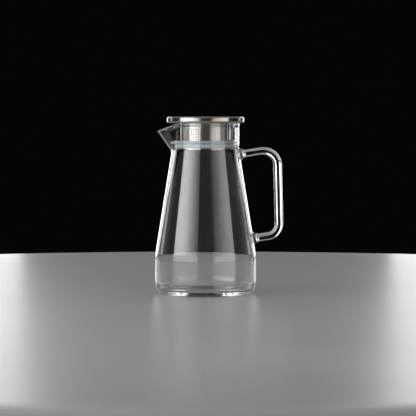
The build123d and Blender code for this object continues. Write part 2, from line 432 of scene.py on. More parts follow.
def rounded(corners: Sequence[Pair], radii: Sequence[float], steps: int) -> Profile:
    """Samples an open outline whose inner corners are rounded.

    Args:
        corners: The corners.
        radii: A radius for each corner between the two ends.
        steps: How many stretches each round corner is cut into.

    Returns:
        The ends and the points of the round corners.
    """
    made = [tuple(corners[0])]
    for before, at, after, radius in zip(corners, corners[1:], corners[2:], radii, strict=False):
        here = np.array(at, float)
        back, on = (np.array(before) - here), (np.array(after) - here)
        back, on = back / np.linalg.norm(back), on / np.linalg.norm(on)
        half = math.acos(float(np.clip(back @ on, -1, 1))) / 2
        if radius <= 0 or half > math.pi / 2 - TINY:
            made.append(tuple(here))
            continue
        middle = here + (back + on) / np.linalg.norm(back + on) * radius / math.sin(half)
        first = here + back * radius / math.tan(half)
        last = here + on * radius / math.tan(half)
        turn_from = math.atan2(*(first - middle)[::-1])
        turn = (math.atan2(*(last - middle)[::-1]) - turn_from + math.pi) % (2 * math.pi) - math.pi
        for share in np.linspace(0, 1, steps + 1):
            angle = turn_from + turn * share
            made.append((middle[0] + radius * math.cos(angle), middle[1] + radius * math.sin(angle)))
    return [*made, tuple(corners[-1])]


def soft_max(a: Array, b: Array | float, softness: float) -> Array:
    """The larger of two lengths, rounded where they meet."""
    return (a + b + np.sqrt((a - b) ** 2 + softness**2)) / 2


def smooth_step(values: Array | float, low: float, high: float) -> Array:
    """Rises smoothly from 0 at low to 1 at high."""
    share = np.clip((np.asarray(values, float) - low) / (high - low), 0, 1)
    return share * share * (3 - 2 * share)


def hump(distance: Array | float, width: float) -> Array:
    """A smooth hump, 1 in its middle and nearly gone two widths away."""
    return np.exp(-((distance / width) ** 2))


def ripples(angle: Array, waves: Waves) -> Array:
    """Waves added up, each with its height, its count round the circle and its start."""
    return sum(height * np.sin(count * angle + start) for height, count, start in waves)


def even_angles(count: int) -> Array:
    """Angles spaced evenly round the circle, in radians."""
    return np.arange(count) * 2 * math.pi / count


def level_ring(radius: Array | float, angle: Array, height: Array | float) -> Array:
    """Points round the Z axis, at angles from +X."""
    return np.stack([radius * np.cos(angle), radius * np.sin(angle), np.broadcast_to(height, angle.shape)], 1)


def round_arm(turns: Array, up: Array) -> Array:
    """Unit vectors round an arm that has Y to its side, turned from +Y towards up."""
    return np.cos(turns)[:, None] * np.array([0.0, 1.0, 0.0]) + np.sin(turns)[:, None] * up


class Skin:
    """Faces gathered as grids of points, then welded into one smooth mesh."""

    weld_distance: float = 0.002
    sliver_width: float = 0.0005

    def __init__(self) -> None:
        """Starts with nothing."""
        self.points: list[Array] = []
        self.faces: list[tuple[int, ...]] = []
        self.count = 0

    def grid(self, rows: Array, keep: Callable[[int, int], bool] | None = None) -> None:
        """Adds the quads of a grid, whose last column joins the first.

        Args:
            rows: Points in millimetres, as rows by columns by 3.
            keep: Says for a row and column whether the quad there is kept.
        """
        height, width = rows.shape[:2]
        start = self.count
        self.points.append(rows.reshape(-1, 3))
        self.count += height * width
        for row in range(height - 1):
            for column in range(width):
                if keep is not None and not keep(row, column):
                    continue
                beside = (column + 1) % width
                low, high = start + row * width, start + (row + 1) * width
                self.faces.append((low + column, low + beside, high + beside, high + column))

    def fan(self, ring: Array, centre: Sequence[float]) -> None:
        """Closes a ring of points with triangles round a centre.

        Args:
            ring: The ring's points in millimetres.
            centre: The middle point.
        """
        start, width = self.count, len(ring)
        self.points.append(np.vstack([ring, np.array(centre, float)[None]]))
        self.count += width + 1
        self.faces += [(start + i, start + (i + 1) % width, start + width) for i in range(width)]

    def build(self, name: str, material: bpy.types.Material) -> bpy.types.Object:
        """Makes the object.

        Args:
            name: The piece's name.
            material: Its finish.

        Returns:
            The new object, smooth and closed.
        """
        mesh = bpy.data.meshes.new(name)
        mesh.from_pydata((np.vstack(self.points) * MM).tolist(), [], self.faces)
        work = bmesh.new()
        work.from_mesh(mesh)
        bmesh.ops.remove_doubles(work, verts=work.verts, dist=self.weld_distance * MM)
        bmesh.ops.dissolve_degenerate(work, edges=work.edges, dist=self.sliver_width * MM)
        bmesh.ops.recalc_face_normals(work, faces=work.faces)
        for face in work.faces:
            face.smooth = True
        work.to_mesh(mesh)
        open_edges = sum(len(edge.link_faces) != 2 for edge in work.edges)
        work.free()
        mesh.materials.append(material)
        piece = bpy.data.objects.new(name, mesh)
        bpy.context.scene.collection.objects.link(piece)
        log.info("%s: %d faces, %d open edges", name, len(mesh.polygons), open_edges)
        return piece


# -------------------- the glass


@dataclass
class Beak:
    """Pouring beak, drawn out of the neck towards -X.

    The last five fields fade it in at its root and keep the sums safe there.
    """

    neck: float = 42.0
    bore: float = 39.2
    root_height: float = 176.7
    tip_height: float = 201.7
    reach: float = 17.9
    half_angle: float = 30.8
    tangency: float = 0.86
    nose: float = 4.2
    root_rounding: float = 12.0
    wall: float = 3.1
    lip_start: float = 33.0
    lip_lead: float = 1.0
    lip_softness: float = 2.5
    rim_height: float = 212.0
    outer_softness: float = 0.7
    inner_softness: float = 0.9
    fade_below: float = 1.5
    fade_above: float = 2.5
    lowest_share: float = -0.05
    least_facing: float = 0.3
    hair: float = 0.001

    def _drawn(self, angle: Array, height: Array, inset: float) -> Array:
        """Radius of the beak's walls and nose alone.

        Args:
            angle: Angles from -X, positive, in radians.
            height: Heights in millimetres, one for each angle.
            inset: How far the surface lies behind the outer one.

        Returns:
            The radii, falling away beyond the walls.
        """
        share = (height - self.root_height) / (self.tip_height - self.root_height)
        reach = self.neck + self.reach * np.maximum(share, self.lowest_share)
        ratio = np.clip(self.neck / np.maximum(reach, self.neck + self.hair), 0, 1)
        spread = np.minimum(math.radians(self.half_angle), self.tangency * np.arccos(ratio))
        base = np.minimum(self.neck, reach)
        nose = self.nose + (self.root_rounding - self.nose) * np.clip(1 - share, 0, 1)
        centre = reach - nose
        to_x, to_y = centre - base * np.cos(spread), -base * np.sin(spread)
        length = np.maximum(np.hypot(to_x, to_y), nose + self.hair)
        heading = np.arctan2(to_y, to_x) + np.arcsin(nose / length)
        normal_x, normal_y = -np.sin(heading), np.cos(heading)
        away = normal_x * centre + nose - inset
        facing = np.arctan2(normal_y, normal_x)
        turned = np.clip(np.cos(angle - facing), self.least_facing, 1)
        wall = np.where(angle < facing, away / turned, 2 * away - away / turned)
        touch = np.arctan2(normal_y * (nose - inset), centre + normal_x * (nose - inset))
        inside = np.maximum((nose - inset) ** 2 - (centre * np.sin(angle)) ** 2, 0)
        tip = centre * np.cos(angle) + np.sqrt(inside)
        return np.where(angle < touch, tip, wall)

    def outer(self, angle: Array, height: Array, plain: Array) -> Array:
        """Outer radius of neck and beak, where plain is the radius without a beak."""
        drawn = self._drawn(angle, height, 0.0) - self.neck + plain
        return self._joined(plain, drawn, height, self.outer_softness)

    def inner(self, angle: Array, height: Array, plain: Array) -> Array:
        """Inner radius of neck and beak, where plain is the bore's radius without a beak."""
        return self._joined(plain, self._drawn(angle, height, self.wall), height, self.inner_softness)

    def _joined(self, plain: Array, drawn: Array, height: Array, softness: float) -> Array:
        """Radii of the neck alone and of the beak alone, joined from the beak's root upwards."""
        rising = smooth_step(height, self.root_height - self.fade_below, self.root_height + self.fade_above)
        return np.where(rising > 0, plain + (soft_max(plain, drawn, softness) - plain) * rising, plain)

    def lip(self, forward: Array) -> Array:
        """Height of the rim, which slopes down along the beak.

        Args:
            forward: Distance of a point towards -X from the axis.

        Returns:
            The rim's height there.
        """
        fall = (self.rim_height - self.tip_height) / (self.neck + self.reach - self.lip_start)
        past = forward - self.lip_start - self.lip_lead
        return self.rim_height - fall * soft_max(past, 0.0, self.lip_softness)


@dataclass
class Vessel:
    """Blown vessel: foot, round heel, body, cone, neck with its beak, and bore.

    The pulls place the inner control points of a heel's curve, as shares of its width and height.
    """

    body: float = 63.0
    heel_width: float = 8.8
    heel_height: float = 21.0
    heel_pulls: Pair = (0.6, 0.3)
    shoulder_height: float = 47.0
    neck_height: float = 178.0
    shoulder_blend: float = 70.0
    neck_blend: float = 14.0
    neck_wall: float = 2.8
    body_wall: float = 2.4
    base_thickness: float = 4.6
    foot_width: float = 8.2
    foot_recess: float = 1.6
    recess_slope: float = 6.0
    inner_heel_width: float = 11.0
    inner_heel_height: float = 12.0
    inner_heel_pulls: Pair = (0.7, 0.3)
    mark_height: float = 0.3
    mark_radius: float = 12.0
    mark_width: float = 1.5
    dome_height: float = 0.25
    under_dome_width: float = 9.0
    floor_dome_width: float = 24.0
    rim_bead: float = 0.6
    bead_width: float = 2.2
    tip_reach: float = 7.0
    tip_calm: float = 0.8
    foot_wave: float = 0.3
    foot_waves: Waves = ((1.0, 34, 0.6), (0.7, 47, 2.1), (0.5, 61, 4.0))
    wave_height: float = 1.5
    wave_width: float = 2.5
    coarse_columns: int = 192
    fine_factor: int = 4
    fine_reach: int = 20
    hole_cells: int = 8
    bend_steps: int = 12
    innermost: float = 2.0
    under_rows: int = 20
    slope_steps: int = 8
    heel_steps: int = 16
    floor_rows: int = 14
    body_rows_top: float = 41.0
    wall_rows: tuple[int, int, int] = (6, 10, 25)
    row_crowding: float = 0.25
    lip_rounds: int = 30
    above_rim: float = 5.0
    below_beak: float = 2.0
    beak: Beak = field(default_factory=Beak)

    @property
    def inner_body(self) -> float:
        """Inner radius of the body."""
        return self.body - self.body_wall

    @property
    def floor_height(self) -> float:
        """Height of the inner floor."""
        return self.foot_recess + self.base_thickness

    def columns(self) -> Array:
        """Spaces the mesh's columns, closer together at the beak.

        Returns:
            Their angles from +X, in radians.
        """
        step = 2 * math.pi / self.coarse_columns
        half = self.coarse_columns // 2
        coarse = [i * step for i in range(self.coarse_columns) if abs(i - half) > self.fine_reach]
        first = (half - self.fine_reach) * step
        count = 2 * self.fine_reach * self.fine_factor + 1
        fine = [first + i * step / self.fine_factor for i in range(count)]
        return np.array(sorted(coarse + fine))

    def cone_radius(self, height: Array | float) -> Array | float:
        """Outer radius of the cone at a height."""
        slope = (self.body - self.beak.neck) / (self.neck_height - self.shoulder_height)
        return self.body - (height - self.shoulder_height) * slope

    def side(self, outside: bool) -> Profile:
        """Draws the outline of the wall.

        Args:
            outside: True for the outer wall.

        Returns:
            Its points, from the heel to above the rim.
        """
        body, neck = (self.body, self.beak.neck) if outside else (self.inner_body, self.beak.bore)
        low = self.heel_height if outside else self.floor_height + self.inner_heel_height
        top = self.beak.rim_height + self.above_rim
        blends = [self.shoulder_blend, self.neck_blend]
        if not outside:
            blends = [self.shoulder_blend - self.body_wall, self.neck_blend + self.neck_wall]
        corners = [(body, low), (body, self.shoulder_height), (neck, self.neck_height), (neck, top)]
        return rounded(corners, blends, self.bend_steps)

    def under(self) -> Profile:
        """Draws the outline under the base.

        Returns:
            Its points, from near the centre out and up round the heel.
        """
        foot_outer = self.body - self.heel_width
        foot_inner = foot_outer - self.foot_width
        recess, half, high = foot_inner - self.recess_slope, self.recess_slope / 2, self.foot_recess
        flat = [(r, high + self._mark(r)) for r in np.linspace(self.innermost, recess, self.under_rows)]
        slope = [(recess, high), (recess + half, high), (foot_inner - half, 0.0), (foot_inner, 0.0)]
        foot = [(foot_inner + self.foot_width * share, 0.0) for share in (0.25, 0.5, 0.75)]
        outwards = foot_outer + self.heel_pulls[0] * self.heel_width
        upwards = self.heel_pulls[1] * self.heel_height
        heel = [(foot_outer, 0.0), (outwards, 0.0), (self.body, upwards), (self.body, self.heel_height)]
        return flat + bezier(slope, self.slope_steps)[1:] + foot + bezier(heel, self.heel_steps)

    def _mark(self, radius: float) -> float:
        """Height of the faint ring and dome that the mould leaves in the middle of the base."""
        ring = self.mark_height * hump(radius - self.mark_radius, self.mark_width)
        return ring + self.dome_height * hump(radius, self.under_dome_width)

    def floor(self) -> Profile:
        """Draws the outline of the inner floor.

        Returns:
            Its points, from the inner heel down to near the floor's centre.
        """
        inner, floor = self.inner_body, self.floor_height
        edge = inner - self.inner_heel_width
        outwards = edge + self.inner_heel_pulls[0] * self.inner_heel_width
        upwards = floor + self.inner_heel_pulls[1] * self.inner_heel_height
        heel = [(inner, floor + self.inner_heel_height), (inner, upwards), (outwards, floor), (edge, floor)]
        spots = np.linspace(edge, self.innermost, self.floor_rows)[1:]
        flat = [(r, floor + self.dome_height * hump(r, self.floor_dome_width)) for r in spots]
        return bezier(heel, self.floor_rows) + flat

    def wall_heights(self, block: float) -> Array:
        """Heights of the mesh's rows on the outside below the neck's top part.

        Args:
            block: Half the height of a weld pad's square patch, at the neck.

        Returns:
            Rising heights, with even rows through both patches.
        """
        low_radius, high_radius = (float(self.cone_radius(pad.height)) for pad in (LOWER_PAD, UPPER_PAD))
        low_half = block * low_radius / high_radius
        cells = 2 * self.hole_cells
        low = np.linspace(LOWER_PAD.height - low_half, LOWER_PAD.height + low_half, cells + 1)
        high = np.linspace(UPPER_PAD.height - block, UPPER_PAD.height + block, cells + 1)
        body_rows, bend_rows, cone_rows = self.wall_rows
        rise = np.linspace(self.heel_height, self.body_rows_top, body_rows + 1)[1:]
        bend = np.linspace(self.body_rows_top, low[0], bend_rows + 1)[1:-1]
        cone = np.linspace(low[-1], high[0], cone_rows + 1)[1:-1]
        return np.concatenate([rise, bend, low, cone, high])

    def rim_rows(self, angle: Array, start: float, outside: bool, count: int) -> Array:
        """Rows of the neck from a level ring up to the rounded edge.

        Args:
            angle: Angles of the columns from +X.
            start: Height of the level ring, which is left out.
            outside: True for the outer wall.
            count: How many rows.

        Returns:
            Points as rows by columns by 3, from the ring upwards.
        """
        radii, heights = np.array(self.side(outside)).T
        ahead = np.abs(angle - math.pi)
        grow = self.beak.outer if outside else self.beak.inner
        half = self.neck_wall / 2
        top = np.full_like(angle, self.beak.rim_height - half)
        for _ in range(self.lip_rounds):
            radius = grow(ahead, top, np.interp(top, heights, radii))
            top = self.beak.lip(radius * np.cos(ahead)) - half
        rows = []
        for share in np.linspace(0, 1, count + 1)[1:]:
            eased = share + self.row_crowding * share * (1 - share)
            level = start + (top - start) * eased
            radius = grow(ahead, level, np.interp(level, heights, radii))
            calm = 1 - self.tip_calm * hump(radius * ahead, self.tip_reach)
            bead = hump(level - top, self.bead_width) * self.rim_bead * calm
            rows.append(level_ring(radius + (bead if outside else -bead), angle, level))
        return np.array(rows)

    def rings(self, profile: Profile, angle: Array, outside: bool) -> Array:
        """Turns an outline into rings of points, with the beak where it reaches.

        Args:
            profile: Radii and heights.
            angle: Angles of the columns from +X.
            outside: True for the outer wall.

        Returns:
            Points as rows by columns by 3.
        """
        grow = self.beak.outer if outside else self.beak.inner
        ahead = np.abs(angle - math.pi)
        rows = []
        for radius, height in profile:
            full = np.full_like(angle, radius)
            if height > self.beak.root_height - self.below_beak:
                full = grow(ahead, np.full_like(angle, height), full)
            if outside and radius > self.body - self.heel_width:
                full = full + self._foot_wave(angle, height)
            rows.append(level_ring(full, angle, height))
        return np.array(rows)

    def _foot_wave(self, angle: Array, height: float) -> Array:
        """Slight unevenness that pressing leaves round the foot's outer edge."""
        fading = hump(height - self.wave_height, self.wave_width)
        return ripples(angle, self.foot_waves) * self.foot_wave * fading


@dataclass(frozen=True)
class WeldPad:
    """Flared joint between the wall and one end of the rod."""

    height: float
    arm: float
    foot: float = 8.7
    length: float = 5.6
    collar: float = 0.6
    collar_length: float = 0.9
    sweep: float = 2.1
    rise: float = 8.8
    flare_steps: int = 12
    wall_rounds: int = 20

    @property
    def reach(self) -> float:
        """How far from the wall the plain rod starts."""
        return self.length + self.collar_length

    def axes(self) -> tuple[Array, Array]:
        """The arm's direction and the direction upwards across it."""
        tilt = math.radians(self.rise)
        return np.array([math.cos(tilt), 0, math.sin(tilt)]), np.array([-math.sin(tilt), 0, math.cos(tilt)])

    def ring(self, centre: Array, radius: float, turns: Array) -> Array:
        """Ring of points across the arm."""
        return centre + radius * round_arm(turns, self.axes()[1])

    def on_wall(self, radius: float, turns: Array, vessel: Vessel) -> Array:
        """Ring of points on the cone, seen along the arm as a circle.

        Args:
            radius: The circle's radius.
            turns: Angles round the arm.
            vessel: The vessel that carries the pad.

        Returns:
            The points.
        """
        along, _ = self.axes()
        start = self.ring(self.joint(vessel), radius, turns)
        depth = np.zeros(len(turns))
        for _ in range(self.wall_rounds):
            spots = start + depth[:, None] * along
            depth -= np.hypot(spots[:, 0], spots[:, 1]) - vessel.cone_radius(spots[:, 2])
        return start + depth[:, None] * along

    def joint(self, vessel: Vessel) -> Array:
        """Where the arm's centre line meets the wall."""
        return np.array([float(vessel.cone_radius(self.height)), 0.0, self.height])

    def flare(self) -> Profile:
        """Draws the pad's outline from the wall to the rod.

        Returns:
            Distances from the wall, and radii.
        """
        neck = self.arm / 2 + self.collar
        drop = self.foot - neck
        shares = np.linspace(0, 1, self.flare_steps + 1)[1:]
        made = [(self.length * s, neck + drop * (1 - s) ** self.sweep) for s in shares]
        for share in (0.2, 0.4, 0.6, 0.8, 1.0):
            eased = float(smooth_step(share, 0, 1))
            made.append((self.length + self.collar_length * share, neck - self.collar * eased))
        return made


UPPER_PAD = WeldPad(height=173.5, arm=8.9)
LOWER_PAD = WeldPad(height=69.2, arm=9.6)


@dataclass
class Handle:
    """Rod handle, bent twice and drawn down towards both ends."""

    finger_gap: float = 23.2
    grip: float = 10.5
    lean: float = 1.5
    upper_bend: float = 18.0
    lower_bend: float = 15.5
    draw_line: float = 0.07
    draw_waves: Waves = ((1.0, 5, 0.4), (0.8, 8, 2.0), (0.7, 11, 3.1))
    draw_start: float = 8.0
    arm_steps: int = 8
    bend_steps: int = 24
    grip_steps: int = 16

    def corners(self, vessel: Vessel) -> list[Array]:
        """Finds the corner points of the centre line.

        Args:
            vessel: The vessel that carries it.

        Returns:
            The points, from the upper joint to the lower one.
        """
        rise, lean = math.tan(math.radians(UPPER_PAD.rise)), math.tan(math.radians(self.lean))
        upper, lower = UPPER_PAD.joint(vessel), LOWER_PAD.joint(vessel)
        low_x = vessel.body + self.finger_gap + self.grip / 2
        low_z = lower[2] + (low_x - lower[0]) * rise
        high_x = (low_x - lean * (upper[2] - upper[0] * rise - low_z)) / (1 + rise * lean)
        high_z = upper[2] + (high_x - upper[0]) * rise
        return [upper, np.array([high_x, 0, high_z]), np.array([low_x, 0, low_z]), lower]

    def line(self, vessel: Vessel) -> tuple[Array, Array]:
        """Centre line of the rod between the two pads, with its diameters.

        Args:
            vessel: The vessel that carries it.

        Returns:
            Points, and the rod's diameter at each.
        """
        upper, high, low, lower = self.corners(vessel)
        along, _ = UPPER_PAD.axes()
        start, end = upper + along * UPPER_PAD.reach, lower + along * LOWER_PAD.reach
        flat = [(p[0], p[2]) for p in (start, high, low, end)]
        path = rounded(flat, [self.upper_bend, self.lower_bend], self.bend_steps)
        half = len(path) // 2
        first, second = path[1:half], path[half:-1]
        arm = [tuple(p) for p in np.linspace(path[0], first[0], self.arm_steps + 1)[:-1]]
        grip = [tuple(p) for p in np.linspace(first[-1], second[0], self.grip_steps + 1)[1:-1]]
        foot = [tuple(p) for p in np.linspace(second[-1], path[-1], self.arm_steps + 1)[1:]]
        points = np.array(arm + first + grip + second + foot)
        gone = np.concatenate([[0], np.cumsum(np.hypot(*np.diff(points, axis=0).T))])
        grip_start = self.arm_steps + self.bend_steps
        bends = np.array([self.arm_steps, grip_start, grip_start + self.grip_steps, -1 - self.arm_steps])
        widths = UPPER_PAD.arm + (self.grip - UPPER_PAD.arm) * smooth_step(gone, *gone[bends[:2]])
        widths = widths - (self.grip - LOWER_PAD.arm) * smooth_step(gone, *gone[bends[2:]])
        return np.stack([points[:, 0], np.zeros(len(points)), points[:, 1]], 1), widths

    def draw_lines(self, turns: Array, share: float) -> Array:
        """Faint lengthwise lines that drawing leaves on the rod, none at its ends."""
        held = min(1.0, self.draw_start * share, self.draw_start * (1 - share))
        return ripples(turns, self.draw_waves) * self.draw_line * held


@dataclass
class GlassJug:
    """All the glass, fused into one piece as on the real jug."""

    finish: ClearGlass
    vessel: Vessel = field(default_factory=Vessel)
    handle: Handle = field(default_factory=Handle)
    rim_steps: int = 12
    neck_rows: int = 26
    inner_neck_rows: int = 34
    inner_neck_start: float = 171.0
    inner_cone_rows: int = 21
    inner_body_rows: int = 5
    patch_shares: tuple[float, ...] = (0.3, 0.55, 0.75, 0.88)

    def build(self) -> bpy.types.Object:
        """Makes the glass.

        Returns:
            The piece that stands for the vessel, the rod and both weld pads.
        """
        skin = Skin()
        vessel, cells = self.vessel, self.vessel.hole_cells
        angle = vessel.columns()
        width = 2 * math.pi / vessel.coarse_columns
        heights = vessel.wall_heights(cells * width * float(vessel.cone_radius(UPPER_PAD.height)))
        side = np.array(vessel.side(True))
        wall = [(float(np.interp(z, side[:, 1], side[:, 0])), z) for z in heights]
        outline = vessel.under() + wall
        outside = vessel.rings(outline, angle, True)
        patches = [self._first_row(outline, pad) for pad in (UPPER_PAD, LOWER_PAD)]
        above = vessel.rim_rows(angle, heights[-1], True, self.neck_rows)
        outside = np.concatenate([outside, above])

        def is_wall(row: int, column: int) -> bool:
            """Whether a quad isn't under a weld pad."""
            near = column < cells or column >= len(angle) - cells
            return not (near and any(first <= row < first + 2 * cells for first in patches))

        skin.grid(outside, keep=is_wall)
        skin.fan(outside[0], (0, 0, outline[0][1]))
        inside = self._inside(angle)
        skin.grid(inside)
        skin.fan(inside[-1], (0, 0, float(inside[-1][0][2])))
        skin.grid(self._rim(outside[-1], inside[0]))
        self._handle(skin, outside, patches, len(angle))
        return skin.build("jug_glass", self.finish.material())

    def _first_row(self, outline: Profile, pad: WeldPad) -> int:
        """First row of the square patch round a weld pad."""
        middle = min(range(len(outline)), key=lambda i: abs(outline[i][1] - pad.height))
        return middle - self.vessel.hole_cells

    def _inside(self, angle: Array) -> Array:
        """Makes the inner wall and the floor.

        Args:
            angle: Angles of the columns from +X.

        Returns:
            Points as rows by columns by 3, from the rounded edge down to the floor's centre.
        """
        vessel, start = self.vessel, self.inner_neck_start
        side = vessel.side(False)
        lower = [p for p in side[1:-1] if p[1] < start]
        top = (np.interp(start, *np.array(side).T[::-1]), start)
        straight = np.linspace(lower[-1], top, self.inner_cone_rows + 1)[1:]
        body = np.linspace(side[0], lower[0], self.inner_body_rows + 1)[1:-1]
        rising = [*map(tuple, body), *lower, *map(tuple, straight)]
        upper = vessel.rim_rows(angle, start, False, self.inner_neck_rows)[::-1]
        middle = vessel.rings(rising[::-1], angle, False)
        return np.concatenate([upper, middle, vessel.rings(vessel.floor(), angle, False)])

    def _rim(self, outer: Array, inner: Array) -> Array:
        """Makes the fire-polished edge, a half round between the walls.

        Args:
            outer: The outer wall's last row.
            inner: The inner wall's last row.

        Returns:
            Rows of points, from the outer wall over to the inner one.
        """
        rows = []
        for turn in np.linspace(0, math.pi, self.rim_steps + 1):
            row = outer + (inner - outer) * ((1 - math.cos(turn)) / 2)
            row[:, 2] += self.vessel.neck_wall / 2 * math.sin(turn)
            rows.append(row)
        return np.array(rows)

    def _square(self, outside: Array, first: int, columns: int) -> Array:
        """Points of a patch's square edge, anticlockwise from the side at +Y.

        Args:
            outside: Rows of the outer wall.
            first: The patch's first row.
            columns: How many columns a row has.

        Returns:
            The points, eight for each cell of the half side.
        """
        cells = self.vessel.hole_cells
        middle = first + cells
        spots = [(row, cells) for row in range(middle, middle + cells)]
        spots += [(middle + cells, column) for column in range(cells, -cells, -1)]
        spots += [(row, -cells) for row in range(middle + cells, middle - cells, -1)]
        spots += [(middle - cells, column) for column in range(-cells, cells)]
        spots += [(row, cells) for row in range(middle - cells, middle)]
        return np.array([outside[row, column % columns] for row, column in spots])

    def _handle(self, skin: Skin, outside: Array, patches: list[int], columns: int) -> None:
        """Adds both weld pads and the rod between them.

        Args:
            skin: The mesh that they go into.
            outside: Rows of the outer wall.
            patches: First rows of the two square patches.
            columns: How many columns a row has.
        """
        count = 8 * self.vessel.hole_cells
        turns = even_angles(count)
        ends = []
        for pad, first in zip((UPPER_PAD, LOWER_PAD), patches, strict=True):
            square = self._square(outside, first, columns)
            foot = pad.on_wall(pad.foot, turns, self.vessel)
            rows = [square]
            for share in self.patch_shares:
                row = square + (foot - square) * share
                row[:, :2] *= (self.vessel.cone_radius(row[:, 2]) / np.hypot(row[:, 0], row[:, 1]))[:, None]
                rows.append(row)
            rows += [foot, *self._flare(pad, foot, turns)]
            skin.grid(np.array(rows))
            ends.append(rows[-1])
        points, widths = self.handle.line(self.vessel)
        ahead = np.gradient(points, axis=0)
        ahead /= np.linalg.norm(ahead, axis=1)[:, None]
        rod = []
        shares = np.linspace(0, 1, len(points))
        for spot, way, wide, share in zip(points, ahead, widths, shares, strict=True):
            sides = round_arm(turns, np.array([-way[2], 0, way[0]]))
            rod.append(spot + sides * (wide / 2 + self.handle.draw_lines(turns, share))[:, None])
        rod[0], rod[-1] = ends[0], ends[1][-np.arange(count) % count]
        skin.grid(np.array(rod))

    def _flare(self, pad: WeldPad, foot: Array, turns: Array) -> list[Array]:
        """Makes the rings of a pad.

        Args:
            pad: The pad.
            foot: Its edge on the wall.
            turns: Angles round the arm.

        Returns:
            Rings of points, from beside the wall out to the rod.
        """
        along, _ = pad.axes()
        joint = pad.joint(self.vessel)
        depth = (foot - joint) @ along
        rows = []
        for away, radius in pad.flare():
            held = (1 - min(away / pad.length, 1)) ** 2
            ring = pad.ring(joint + along * away, radius, turns)
            rows.append(ring + (held * depth)[:, None] * along)
        return rows


# -------------------- the lid


@dataclass
class SiliconeSeal:
    """Soft ring whose fin presses on the bore and springs out where the beak leaves it free.

    The spring gives angles from the beak's middle, and how far the fin's edge comes out there.
    """

    finish: MilkySilicone
    inner: float = 30.9
    base: float = 181.3
    height: float = 9.0
    bead: float = 38.2
    bead_slope: float = 0.7
    bead_top: float = 1.6
    groove: float = 36.4
    groove_heights: Pair = (3.3, 4.3)
    fin: float = 38.9
    fin_heights: Pair = (7.0, 7.75)
    fin_slope: float = 3.0
    seam: float = 1.0
    roundings: tuple[float, ...] = (0.25, 0.35, 0.9, 0.5, 0.9, 0.32, 0.32, 1.6, 0.25)
    rounding_steps: int = 5
    spring: tuple[Pair, ...] = ((0, 3.4), (9, 3.3), (15, 2.7), (20, 1.8), (25, 0.9), (29, 0.15), (33, 0))
    spring_heights: Pair = (3.6, 5.0)
    spring_start: float = 34.0
    droop: float = 0.12
    smoothing: tuple[int, ...] = (1, 3, 5, 3, 1)
    cell: float = 0.8
    columns: int = 192

    def build(self) -> bpy.types.Object:
        """Makes the seal.

        Returns:
            The piece that stands for the plain ring.
        """
        angle = even_angles(self.columns)
        marks, lengths = np.array(self.spring, float).T
        out = np.interp(np.degrees(np.abs(angle - math.pi)), marks, lengths)
        middle, total = len(self.smoothing) // 2, sum(self.smoothing)
        out = sum(weight / total * np.roll(out, i - middle) for i, weight in enumerate(self.smoothing))
        rows = []
        for radius, height, share in self._outline():
            rows.append(level_ring(radius + out * share, angle, height - out * share * self.droop))
        skin = Skin()
        skin.grid(np.array([*rows, rows[0]]))
        return skin.build("seal_silicone", self.finish.material())

    def _outline(self) -> list[tuple[float, float, float]]:
        """Draws the seal's section.

        Returns:
            Radii, heights, and the share of the fin's springing out that each point follows.
        """
        corners = [
            (self.inner, self.seam),
            (self.inner, 0.0),
            (self.bead - self.bead_slope, 0.0),
            (self.bead, self.bead_top),
            *((self.groove, height) for height in self.groove_heights),
            *((self.fin, height) for height in self.fin_heights),
            (self.fin - self.fin_slope, self.height),
            (self.inner, self.height),
            (self.inner, self.seam),
        ]
        corners = [(radius, self.base + height) for radius, height in corners]
        line = rounded(corners, self.roundings, self.rounding_steps)
        low, high = (self.base + height for height in self.spring_heights)
        made = []
        for start, end in zip(line, line[1:], strict=False):
            count = max(1, round(math.dist(start, end) / self.cell))
            for radius, height in np.linspace(start, end, count + 1)[:-1]:
                share = smooth_step(height, low, high) * smooth_step(radius, self.spring_start, self.fin)
                made.append((radius, height, float(share)))
        return made


class LidPart(Enum):
    """The lid's CAD nodes, by the steel that they share."""

    CAP = ("cap_shell", "cap_base")
    STRAINER = ("strainer_sleeve", "seal_carrier")


@dataclass
class StrainerLid:
    """Steel cap with its strainer sleeve and the ring that carries the seal."""

    cap: BrushedSteel = BrushedSteel(
        "cap_steel", (0.5, 0.475, 0.45), (0.38, 0.36, 0.34),
        rough=0.26, rough_spread=0.14, line_size=0.22, line_depth=0.02, anisotropy=0.85,
    )
    strainer: BrushedSteel = BrushedSteel(
        "strainer_steel", (0.43, 0.415, 0.395), (0.38, 0.365, 0.35),
        # Painted shade: within 30.3 mm the strainer's steel is painted near-black for the shade inside the
        # sleeve.
        rough=0.3, rough_spread=0.02, line_size=0.4, line_depth=0.01, anisotropy=0.97, painted_shade_radius=30.3,
    )

    def build(self) -> list[bpy.types.Object]:
        """Dresses the lid's steel pieces.

        Returns:
            The dressed pieces.
        """
        pieces = []
        for finish, names in ((self.cap, LidPart.CAP.value), (self.strainer, LidPart.STRAINER.value)):
            material = finish.material()
            for name in names:
                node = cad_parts[name]
                node.data.materials.clear()
                node.data.materials.append(material)
                pieces.append(node)
        return pieces


# -------------------- the studio


